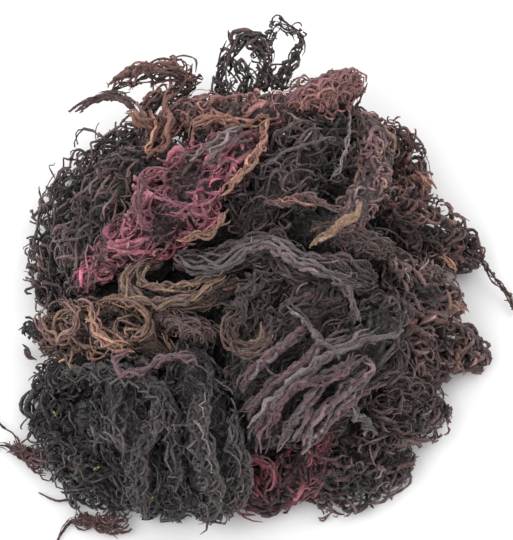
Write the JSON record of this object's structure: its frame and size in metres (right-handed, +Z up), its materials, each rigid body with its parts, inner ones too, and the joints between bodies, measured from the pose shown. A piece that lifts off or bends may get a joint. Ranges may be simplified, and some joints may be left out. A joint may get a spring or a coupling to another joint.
{
  "type": "dried irish moss seaweed",
  "caption": "Springy heap of dried purple sea moss: tangled, curled fronds in browns, charcoal, rose and ochre, lying loose on a flat surface.",
  "frame": {"origin": "on the table, under the centre of the box round the whole heap", "axes": "+Z up from the table, which is the heap's shortest extent; +X to the right and +Y to the back as the picture's camera sees the heap"},
  "size_m": [0.2086, 0.1958, 0.0774],
  "materials": {
    "rose_frond": "dry, matt and slightly leathery, rose and magenta pink",
    "coral_frond": "dry, matt and slightly leathery, salmon and coral",
    "crest_frond": "dry, matt and slightly leathery, grey brown",
    "horn_frond": "dry, matt and slightly leathery, reddish brown",
    "umber_rim_frond": "dry, matt and slightly leathery, dark umber",
    "umber_frond": "dry, matt and slightly leathery, dark umber",
    "heart_frond": "dry, matt and slightly leathery, dark brown with paler strands",
    "ochre_frond": "dry, matt and slightly leathery, mauve pink turning ochre",
    "slate_frond": "dry, matt and slightly leathery, slate grey",
    "golden_frond": "dry, matt and slightly leathery, golden ochre",
    "tan_frond": "dry, matt and slightly leathery, pinkish tan",
    "soot_rim_frond": "dry, matt and slightly leathery, charcoal, near black",
    "soot_frond": "dry, matt and slightly leathery, charcoal",
    "ash_frond": "dry, matt and slightly leathery, ash grey",
    "violet_frond": "dry, matt and slightly leathery, greyish violet",
    "plum_frond": "dry, matt and slightly leathery, plum",
    "crimson_frond": "dry, matt and slightly leathery, crimson",
    "bark_foot_frond": "dry, matt and slightly leathery, bark brown",
    "bark_frond": "dry, matt and slightly leathery, bark brown",
    "russet_foot_frond": "dry, matt and slightly leathery, russet brown",
    "russet_frond": "dry, matt and slightly leathery, russet brown",
    "maroon_rim_frond": "dry, matt and slightly leathery, maroon brown",
    "maroon_frond": "dry, matt and slightly leathery, maroon brown",
    "wine_sprig": "dry, matt and slightly leathery, wine red",
    "claret_sprig": "dry, matt and slightly leathery, claret red",
    "under_frond": "dry, matt and slightly leathery, near black, in shade",
    "middle_frond": "dry, matt and slightly leathery, near black, in shade",
    "back_frond": "dry, matt and slightly leathery, dark brown",
    "shoulder_frond": "dry, matt and slightly leathery, dark brown"
  },
  "bodies": {
    "root": {"rose_frond": "rose_frond", "coral_frond": "coral_frond", "crest_frond": "crest_frond", "horn_frond": "horn_frond", "umber_rim_frond": "umber_rim_frond", "umber_frond": "umber_frond", "heart_frond": "heart_frond", "ochre_frond": "ochre_frond", "slate_frond": "slate_frond", "golden_frond": "golden_frond", "tan_frond": "tan_frond", "soot_rim_frond": "soot_rim_frond", "soot_frond": "soot_frond", "ash_frond": "ash_frond", "violet_frond": "violet_frond", "plum_frond": "plum_frond", "crimson_frond": "crimson_frond", "bark_foot_frond": "bark_foot_frond", "bark_frond": "bark_frond", "russet_foot_frond": "russet_foot_frond", "russet_frond": "russet_frond", "maroon_rim_frond": "maroon_rim_frond", "maroon_frond": "maroon_frond", "wine_sprig": "wine_sprig", "claret_sprig": "claret_sprig", "under_frond": "under_frond", "middle_frond": "middle_frond", "back_frond": "back_frond", "shoulder_frond": "shoulder_frond"}
  },
  "joints": []
}
